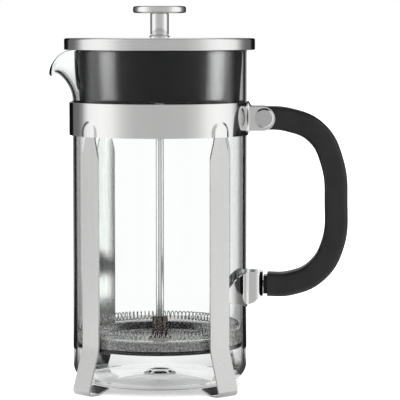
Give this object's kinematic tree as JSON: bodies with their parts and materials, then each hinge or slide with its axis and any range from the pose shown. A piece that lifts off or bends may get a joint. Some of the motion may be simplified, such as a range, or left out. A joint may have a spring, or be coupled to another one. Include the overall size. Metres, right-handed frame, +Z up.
{
  "type": "french press",
  "caption": "French press: glass beaker with a spout in a steel frame with turned-in feet and a C handle, steel lid with a black skirt, plunger pressed down.",
  "frame": {"origin": "on the surface it stands on, in the middle of the whole object's footprint box; the beaker's axis is 21.2 mm from it towards the spout", "axes": "+Z up along the plunger, +X from the spout to the handle, +Y to the rear"},
  "size_m": [0.1645, 0.1048, 0.2093],
  "materials": {
    "polished_steel": "mirror-polished stainless steel",
    "satin_steel": "finely brushed stainless steel",
    "filter_steel": "bright spring wire, woven mesh and perforated sheet",
    "clear_glass": "clear borosilicate glass, smooth",
    "gloss_black": "glossy moulded plastic",
    "handle_black": "satin moulded plastic, rounded edges"
  },
  "bodies": {
    "frame": {"frame_band": "polished_steel", "front_left_leg": "polished_steel", "front_right_leg": "polished_steel", "rear_left_leg": "polished_steel", "rear_right_leg": "polished_steel", "handle_strap": "polished_steel", "handle": "handle_black", "clamp_bolt": "satin_steel", "clamp_nut": "satin_steel", "lower_handle_screw": "satin_steel"},
    "beaker": {"glass_beaker": "clear_glass"},
    "lid": {"lid_cover": "satin_steel", "lid_skirt": "gloss_black", "lid_bush": "polished_steel", "lid_nut": "satin_steel"},
    "plunger": {"knob": "polished_steel", "plunger_rod": "polished_steel", "filter_hub": "polished_steel", "perforated_plate": "filter_steel", "edge_spring": "filter_steel", "mesh_screen": "filter_steel", "cross_plate": "filter_steel", "filter_nut": "satin_steel"}
  },
  "joints": [
    {"name": "beaker_lift", "type": "slide", "parent": "frame", "child": "beaker", "axis": [0, 0, 1], "range_m": [0, 0.155]},
    {"name": "lid_lift", "type": "slide", "parent": "beaker", "child": "lid", "axis": [0, 0, 1], "range_m": [0, 0.165]},
    {"name": "plunger_slide", "type": "slide", "parent": "lid", "child": "plunger", "axis": [0, 0, 1], "range_m": [0, 0.121]}
  ]
}
